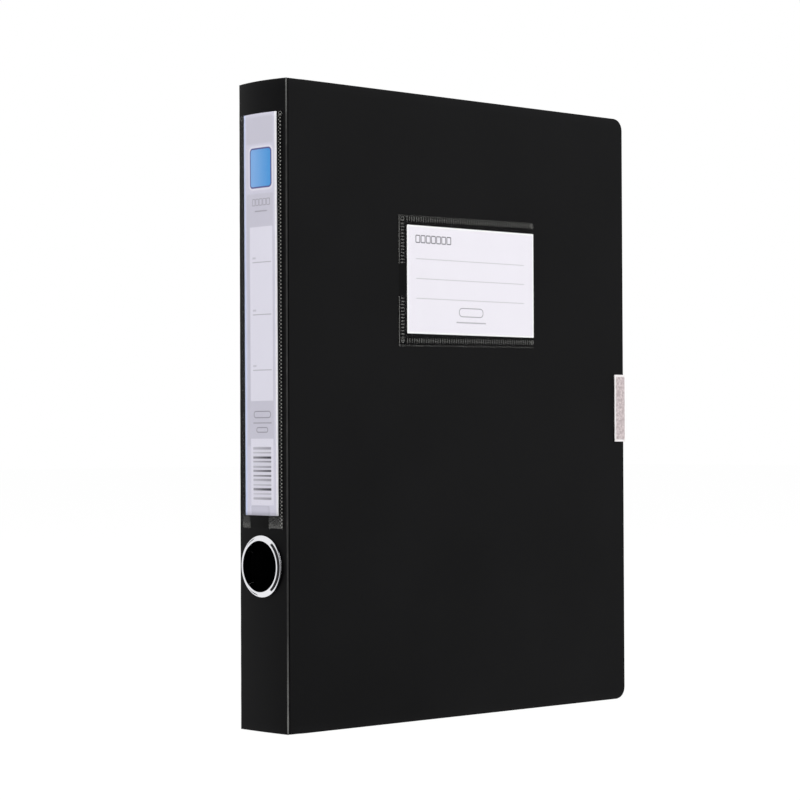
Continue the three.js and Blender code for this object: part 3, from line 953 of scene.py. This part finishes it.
class BOX_OT_front_label(bpy.types.Operator):
    """Front card in its clear pocket, welded above, below and on the left with a knurled line."""

    bl_idname = "document_box.front_label"
    bl_label = "Front label"

    def execute(self, context):
        settings = context.scene.document_box_labels
        low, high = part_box("front_label")
        shape = box_plate("front_label", (0.4 * MM,) * 4, 0.1 * MM)
        card = add_piece("front_card", *shape, front_card_finish(), "cover", "label_paper")
        stand_in(card, "front_label")

        pocket_low, pocket_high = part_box("front_pocket_film")
        pocket_low -= Vector((1.0, 0, 1.4)) * MM
        pocket_high += Vector((0, 0, 0.7)) * MM
        cover_face = -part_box("front_cover")[0].y
        flat = cover_face + 0.12 * MM + settings.film
        raised = -low.y + 0.1 * MM + settings.film - flat
        slope = 0.9 * MM
        notch_middle = middle_height("front_label")
        notch_half = 8 * MM
        notch_low, notch_high = notch_middle - notch_half, notch_middle + notch_half

        def height(u, v):
            inside = np.minimum(u - low.x, np.minimum(v - low.z, high.z - v))
            billow = 0.10 * MM * np.sin(u * 61.0 + 1.0) * np.sin(v * 83.0) * eased(inside, 0, 9 * MM)
            return flat + raised * eased(inside, -slope, 0) + billow

        def keep(u, v):
            return (u > low.x) | (np.abs(v - notch_middle) > notch_half)

        u_lines = lines_between(
            (pocket_low.x, low.x - slope, 4), (low.x - slope, low.x, 5), (low.x, pocket_high.x, 50)
        )
        v_lines = lines_between(
            (pocket_low.z, low.z - slope, 4), (low.z - slope, low.z, 5), (low.z, notch_low, 10),
            (notch_low, notch_high, 8), (notch_high, high.z, 10), (high.z, high.z + slope, 5),
            (high.z + slope, pocket_high.z, 4),
        )
        surface = sheet_surface(u_lines, v_lines, height, front_place, keep)
        add_sheet(
            "front_film", surface, settings.film, film_finish("front_clear_film", 0.0), "cover",
            "clear_film", "front_pocket_film", (0, -1, 0),
        )
        middle = (pocket_low.x + pocket_high.x) / 2
        lean = 0.0125

        def askew(points):
            """On the cover, a little higher towards the right than the card."""
            lift = (points[:, 0] - middle) * lean
            return front_place(points + lift[:, None] * np.array([0, 1, 0]))

        weld = weld_finish("front_weld", 0.36, 1.1)
        # The faint finish below serves only the painted glint along the pocket's top and bottom edges.
        faint = weld_finish("film_edge", 0.07)
        bright = weld_finish("weld_ends", 0.45)
        pitch = settings.weld_pitch
        halves = (1.4 * MM, 0.34 * MM)
        left = (pocket_low.x + low.x) / 2 - 0.4 * MM
        right = pocket_high.x - 1.2 * MM
        upper = (pocket_high.z + high.z) / 2 + 0.75 * MM
        lower = (pocket_low.z + low.z) / 2 - 0.1 * MM
        across = np.arange(left + 2 * pitch, pocket_high.x - 0.4 * MM, pitch)
        up = np.arange(lower, upper + pitch / 2, pitch)
        up = up[np.abs(up - notch_middle) > notch_half + halves[1]]
        ends = ((left, upper), (left, lower), (right, upper), (right, lower))
        shapes = [
            ("weld_upper", knurls(across, upper, flat, halves, askew, upright=True), weld),
            ("weld_lower", knurls(across, lower, flat, halves, askew, upright=True), weld),
            ("weld_side", knurls(left, up, flat, halves, askew), weld),
            ("weld_curls", curls(ends, flat, 0.2 * MM, askew), bright),
        ]
        # The four film rims are thin pale strips along the pocket's outer edges: a painted glint of the
        # film's cut edges, in the weld's frosted colour on the left and nearly clear above and below.
        beside = pocket_low.x + 0.4 * MM
        wide = 0.7 * MM
        for name, start, end, material in (
            ("film_rim_upper", (pocket_low.x, notch_high), (beside, pocket_high.z), weld),
            ("film_rim_lower", (pocket_low.x, pocket_low.z), (beside, notch_low), weld),
            ("film_rim_head", (beside, pocket_high.z - wide), (pocket_high.x, pocket_high.z), faint),
            ("film_rim_foot", (beside, pocket_low.z), (pocket_high.x, pocket_low.z + wide), faint),
        ):
            shape = plate(
                start, end, (0.15 * MM,) * 4, flat - 0.05 * MM, flat + 0.07 * MM, 0.05 * MM, askew, rounds=2
            )
            shapes.append((name, shape, material))
        for name, shape, material in shapes:
            add_piece(name, *shape, material, "cover", "clear_film")
        return {"FINISHED"}


class BOX_OT_spine_label(bpy.types.Operator):
    """Spine strip in its clear pocket, welded down both sides and by two tabs at the foot."""

    bl_idname = "document_box.spine_label"
    bl_label = "Spine label"

    def execute(self, context):
        settings = context.scene.document_box_labels
        low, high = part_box("spine_label")
        pocket_low, pocket_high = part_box("spine_pocket_film")
        thick, seat = 0.3 * MM, 0.1 * MM
        surface = sheet_surface(
            np.linspace(low.y, high.y, 21), np.linspace(low.z, high.z, 81),
            lambda u, v: np.full_like(u, seat + thick), spine_place,
        )
        outwards = (-1, 0, 0)
        add_sheet(
            "spine_strip", surface, thick, spine_strip_finish(), "spine", "spine_paper",
            "spine_label", outwards,
        )
        flat = seat + settings.film
        raised = thick + 0.1 * MM
        slope = 0.8 * MM
        half = high.y
        edge = pocket_high.y
        notch_top = low.z + 4.5 * MM
        notch_left, notch_right = -edge + 6.2 * MM, edge - 9.4 * MM

        def height(u, v):
            inside = np.minimum(half - np.abs(u), v - low.z)
            billow = 0.07 * MM * np.sin(v * 55.0) * np.cos(u * 120.0) * eased(inside, 0, 6 * MM)
            return flat + raised * eased(inside, -slope, 0) + billow

        def keep(u, v):
            return (v > notch_top) | (u < notch_left) | (u > notch_right)

        u_lines = lines_between(
            (-edge, -half - slope, 2), (-half - slope, -half, 4), (-half, notch_left, 3),
            (notch_left, notch_right, 10), (notch_right, half, 6), (half, half + slope, 4),
            (half + slope, edge, 2),
        )
        v_lines = lines_between(
            (pocket_low.z, low.z - slope, 5), (low.z - slope, low.z, 4),
            (low.z, notch_top, 4), (notch_top, pocket_high.z, 90),
        )
        surface = sheet_surface(u_lines, v_lines, height, spine_place, keep)
        add_sheet(
            "spine_film", surface, settings.film, film_finish("spine_clear_film", low.z / MM), "spine",
            "clear_film", "spine_pocket_film", outwards,
        )
        dots = weld_finish("spine_weld", 0.95, 1.5)
        faint = weld_finish("spine_weld_faint", 0.2, 1.2)
        worn = weld_finish("spine_weld_worn", 0.04)
        ending = weld_finish("spine_weld_ends", 0.4)
        pitch = settings.spine_weld_pitch
        up = np.arange(pocket_low.z + pitch / 2, pocket_high.z, pitch)
        row = edge - 0.5 * MM
        columns = (("", row, 0.0, 0.36 * MM), ("_inner", row - 0.9 * MM, 0.5, 0.2 * MM))
        shapes = [
            (name + suffix, knurls(side * u, up + shift * pitch, flat, (size, size), spine_place), material)
            for name, side, material in (("spine_weld_front", 1, dots), ("spine_weld_back", -1, worn))
            for suffix, u, shift, size in columns
        ]
        top = pocket_high.z - 1.2 * MM
        shape = curls(((row, top), (-row, top)), flat, 0.14 * MM, spine_place)
        shapes.append(("spine_weld_curls", shape, ending))
        gap = 1.05 * MM
        tabs = np.concatenate([
            np.arange(-edge + 0.8 * MM, notch_left, gap), np.arange(notch_right + 0.6 * MM, edge, gap)
        ])
        foot = pocket_low.z + 1.3 * MM
        shape = knurls(tabs, foot, flat, (1.2 * MM, 0.36 * MM), spine_place, upright=True)
        shapes.append(("spine_weld_tabs", shape, faint))
        for name, shape, material in shapes:
            add_piece(name, *shape, material, "spine", "clear_film")
        return {"FINISHED"}


# Closure

def fold_profile(inside, outside, free, legs, wall):
    """Closed section of a tape folded round an edge: along one leg, round the fold, back along the other.

    The fold is a half circle about the sheet's middle, and each leg ends in a half-round."""
    middle = (inside + outside) / 2
    inner = (inside - outside) / 2
    front_leg, back_leg = legs
    return np.concatenate([
        arc((free, middle), inner + wall, -90, 90, 17),
        arc((free - back_leg, middle + inner + wall / 2), wall / 2, 90, 270, 7),
        arc((free, middle), inner, 90, -90, 17),
        arc((free - front_leg, middle - inner - wall / 2), wall / 2, 90, 270, 7),
    ])


def loops(centres, reach, height, thread, turns, outward):
    """Many small arches of thread: each a tube of four sides along a half circle, turned by its angle."""
    steps, sides = 6, 4
    sweep = np.linspace(0, math.pi, steps)[:, None]
    section = np.linspace(0, 2 * math.pi, sides, endpoint=False)[None, :] + math.pi / 4
    bulge = 1 + thread / reach * np.cos(section)
    along = (reach * np.cos(sweep) * bulge).ravel()
    lift = (height * np.sin(sweep) * bulge).ravel()
    aside = (thread * np.sin(section) * np.ones_like(sweep)).ravel()
    x = centres[:, 0][:, None] + along * np.cos(turns)[:, None] - aside * np.sin(turns)[:, None]
    z = centres[:, 2][:, None] + along * np.sin(turns)[:, None] + aside * np.cos(turns)[:, None]
    y = centres[:, 1][:, None] + outward * lift[None, :]
    points = np.stack([x, y, z], axis=-1)
    single = np.array(tube_faces(steps, sides))
    if outward > 0:
        single = single[:, ::-1]
    return points.reshape(-1, 3), repeated(single, len(centres), points.shape[1])


class BOX_OT_closure(bpy.types.Operator):
    """Hook tape folded over the cover's free edge, and the loop pad on the tray's lip."""

    bl_idname = "document_box.closure"
    bl_label = "Closing tab"

    def execute(self, context):
        settings = context.scene.document_box_tape
        random = np.random.default_rng(SEED)
        cover_low, cover_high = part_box("front_cover")
        low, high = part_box("closing_tab")
        gap = 0.1 * MM
        wall = cover_low.y - low.y - gap
        free = cover_high.x - 0.55 * MM
        legs = (6.55 * MM, 23.4 * MM)
        profile = fold_profile(cover_high.y + gap, cover_low.y - gap, free, legs, wall)
        rows = 90
        heights = np.linspace(low.z, high.z, rows)[:, None]
        ripple = 0.05 * MM * random.standard_normal((rows, 1))
        tape = np.stack(np.broadcast_arrays(profile[:, 0] + ripple, profile[:, 1], heights), axis=-1)
        woven = tape_finish("hook_tape", False)
        faces = tube_faces(rows, len(profile))
        tab = add_piece("closing_tape", tape, faces, woven, "cover", "hook_tape")
        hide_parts("closing_tab")

        across, up = np.meshgrid(
            np.linspace(low.x + 1.2 * MM, cover_high.x - 3.5 * MM, settings.hook_columns),
            np.linspace(low.z + 1.5 * MM, high.z - 1.5 * MM, settings.hook_rows),
        )
        count = across.size
        centres = np.column_stack([across.ravel(), np.full(count, high.y - 0.05 * MM), up.ravel()])
        turns = random.normal(0, 0.25, count)
        hooks = loops(centres, 0.42 * MM, settings.hook_height, 0.09 * MM, turns, 1.0)
        add_piece("tape_hooks", *hooks, woven, "cover", "hook_tape")

        napped = tape_finish("loop_tape", True)
        shape = box_plate("loop_pad", (1.0 * MM,) * 4, 0.3 * MM)
        pad = add_piece("loop_patch", *shape, napped, "tray", "loop_tape")
        stand_in(pad, "loop_pad")
        pad_low, pad_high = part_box("loop_pad")
        inset = 0.7 * MM
        count = 1500
        centres = np.column_stack([
            random.uniform(pad_low.x + inset, pad_high.x - inset, count),
            np.full(count, pad_low.y + 0.05 * MM),
            random.uniform(pad_low.z + inset, pad_high.z - inset, count),
        ])
        turns = random.uniform(0, math.pi, count)
        nap = loops(centres, 0.5 * MM, 0.28 * MM, 0.05 * MM, turns, -1.0)
        add_piece("pad_nap", *nap, napped, "tray", "loop_tape")
        return {"FINISHED"}


# Stage

def seen_directly(finish):
    """1 for the camera's rays, gloss and rays through film, 0 for the rest, and 1 for gloss alone."""
    path = finish.node("ShaderNodeLightPath")
    names = ("Is Camera Ray", "Is Glossy Ray", "Is Transmission Ray")
    camera, gloss, through = (Amount(finish, path.outputs[name]) for name in names)
    return finish.math("MAXIMUM", camera, finish.math("MAXIMUM", gloss, through)), gloss


def dark_side(finish, direction, near):
    """1 in the unlit wedge of the studio that the photographer stands in, 0 elsewhere.

    The direction from the box is flattened. The wedge is where it nears the wedge's middle, past a
    near limit and below the zenith."""
    middle_x, middle_y, opening, zenith, darkness = -0.69, -0.72, 0.52, 0.96, 0.97
    x, y, z = finish.parts(direction)
    reach = finish.math("SQRT", x * x + y * y + 1e-6)
    toward = (x * middle_x + y * middle_y) / reach
    below_zenith = 1 - finish.past(z, zenith, 0.05)
    return finish.past(toward, opening, 0.1) * finish.past(reach, near, near) * below_zenith * darkness


def floor_finish():
    """Floor that is white to the camera and to gloss, and a plain pale surface to the lamps."""
    finish = Finish("floor_white")
    seen, gloss = seen_directly(finish)
    x, y = finish.place()[:2]
    dark = dark_side(finish, finish.vector(x * MM - CREASE_X, y * MM, 0.0), 0.015) * gloss
    unlit, paint, white = (0.0, 0.0, 0.0), (0.8, 0.8, 0.8), (1.0, 1.0, 1.0)
    strength, share = 1.06, 0.9
    lit = finish.node("ShaderNodeBsdfDiffuse", Color=finish.mix(dark, paint, unlit))
    glow = finish.node("ShaderNodeEmission", Color=finish.mix(dark, white, unlit), Strength=strength)
    both = finish.node("ShaderNodeMixShader", _0=seen * share, _1=lit.outputs[0], _2=glow.outputs[0])
    finish.node("ShaderNodeOutputMaterial", Surface=both.outputs[0])
    return finish.owner


class BOX_OT_stage(bpy.types.Operator):
    """Pale floor, white surroundings, two large soft lamps and the camera."""

    bl_idname = "document_box.stage"
    bl_label = "Stage"

    def execute(self, context):
        scene = context.scene
        settings = scene.document_box_stage
        scene.view_settings.view_transform = "Standard"
        self.add_floor(scene)
        self.add_world(scene, settings)
        self.add_lamp(scene, "key_lamp", settings.key, 1.6, Vector((0.55, -1.9, 1.25)))
        side = self.add_lamp(scene, "side_lamp", settings.side, 1.2, Vector((-1.6, 0.1, 1.9)))
        side.visible_glossy = False
        self.add_camera(scene, settings)
        return {"FINISHED"}

    def add_floor(self, scene):
        """A square floor, large enough to reach past the view."""
        half = 9.0
        corners = [(-half, -half, 0), (half, -half, 0), (half, half, 0), (-half, half, 0)]
        mesh = bpy.data.meshes.new("floor")
        mesh.from_pydata(corners, [], [(0, 1, 2, 3)])
        mesh.materials.append(floor_finish())
        floor = bpy.data.objects.new("floor", mesh)
        scene.collection.objects.link(floor)

    def add_world(self, scene, settings):
        """White to the camera, to gloss and through film, and a plain level of light to the rest."""
        world = bpy.data.worlds.new("studio")
        finish = Finish(world)
        seen, gloss = seen_directly(finish)
        direction = finish.node("ShaderNodeTexCoord").outputs["Generated"]
        dark = dark_side(finish, direction, 0.05) * gloss
        level = (seen * (1 - settings.world) + settings.world) * (1 - dark)
        sky = finish.node("ShaderNodeBackground", Color=(1.0, 1.0, 1.0), Strength=level)
        finish.node("ShaderNodeOutputWorld", Surface=sky.outputs[0])
        scene.world = world

    def add_lamp(self, scene, name, power, size, place):
        """A square lamp that looks at the middle of the box."""
        lamp = bpy.data.lights.new(name, "AREA")
        lamp.energy = power
        lamp.size = size
        made = bpy.data.objects.new(name, lamp)
        aim = Vector((0, 0, HEIGHT / 2)) - place
        made.matrix_world = Matrix.Translation(place) @ aim.to_track_quat("-Z", "Y").to_matrix().to_4x4()
        scene.collection.objects.link(made)
        return made

    def add_camera(self, scene, settings):
        """The photograph's camera: yaw, then pitch, then roll, from its place."""
        camera = bpy.data.cameras.new("camera")
        camera.sensor_fit = "HORIZONTAL"
        camera.lens = settings.focal_pixels / settings.frame_pixels * camera.sensor_width
        camera.clip_end = 50
        made = bpy.data.objects.new("camera", camera)
        turn = (
            Matrix.Rotation(math.radians(settings.camera_roll), 4, "Y")
            @ Matrix.Rotation(math.radians(settings.camera_pitch), 4, "X")
            @ Matrix.Rotation(math.radians(settings.camera_yaw), 4, "Z")
        )
        place = Vector((settings.camera_x, settings.camera_y, settings.camera_z))
        upright = Matrix.Rotation(math.pi / 2, 4, "X")
        made.matrix_world = Matrix.Translation(place) @ turn.transposed() @ upright
        scene.collection.objects.link(made)
        scene.camera = made


class BOX_PT_panel(bpy.types.Panel):
    """Lists the steps that dress the document box."""

    bl_idname = "BOX_PT_panel"
    bl_label = "Document box"
    bl_space_type = "VIEW_3D"
    bl_region_type = "UI"
    bl_category = "Document box"

    def draw(self, context):
        for operator in OPERATORS:
            self.layout.operator(operator.bl_idname)
        for name, group in SETTINGS.items():
            box = self.layout.box()
            for key in group.__annotations__:
                box.prop(getattr(context.scene, name), key)


OPERATORS = (
    BOX_OT_stage,
    BOX_OT_tray,
    BOX_OT_spine,
    BOX_OT_cover,
    BOX_OT_ring,
    BOX_OT_front_label,
    BOX_OT_spine_label,
    BOX_OT_closure,
)


def register():
    for group in SETTINGS.values():
        bpy.utils.register_class(group)
    for name, group in SETTINGS.items():
        setattr(bpy.types.Scene, name, PointerProperty(type=group))
    for operator in (*OPERATORS, BOX_PT_panel):
        bpy.utils.register_class(operator)


def unregister():
    for operator in (BOX_PT_panel, *reversed(OPERATORS)):
        bpy.utils.unregister_class(operator)
    for name in SETTINGS:
        delattr(bpy.types.Scene, name)
    for group in reversed(list(SETTINGS.values())):
        bpy.utils.unregister_class(group)


def main():
    register()
    for operator in OPERATORS:
        category, name = operator.bl_idname.split(".")
        getattr(getattr(bpy.ops, category), name)()


if __name__ == "__main__":
    main()
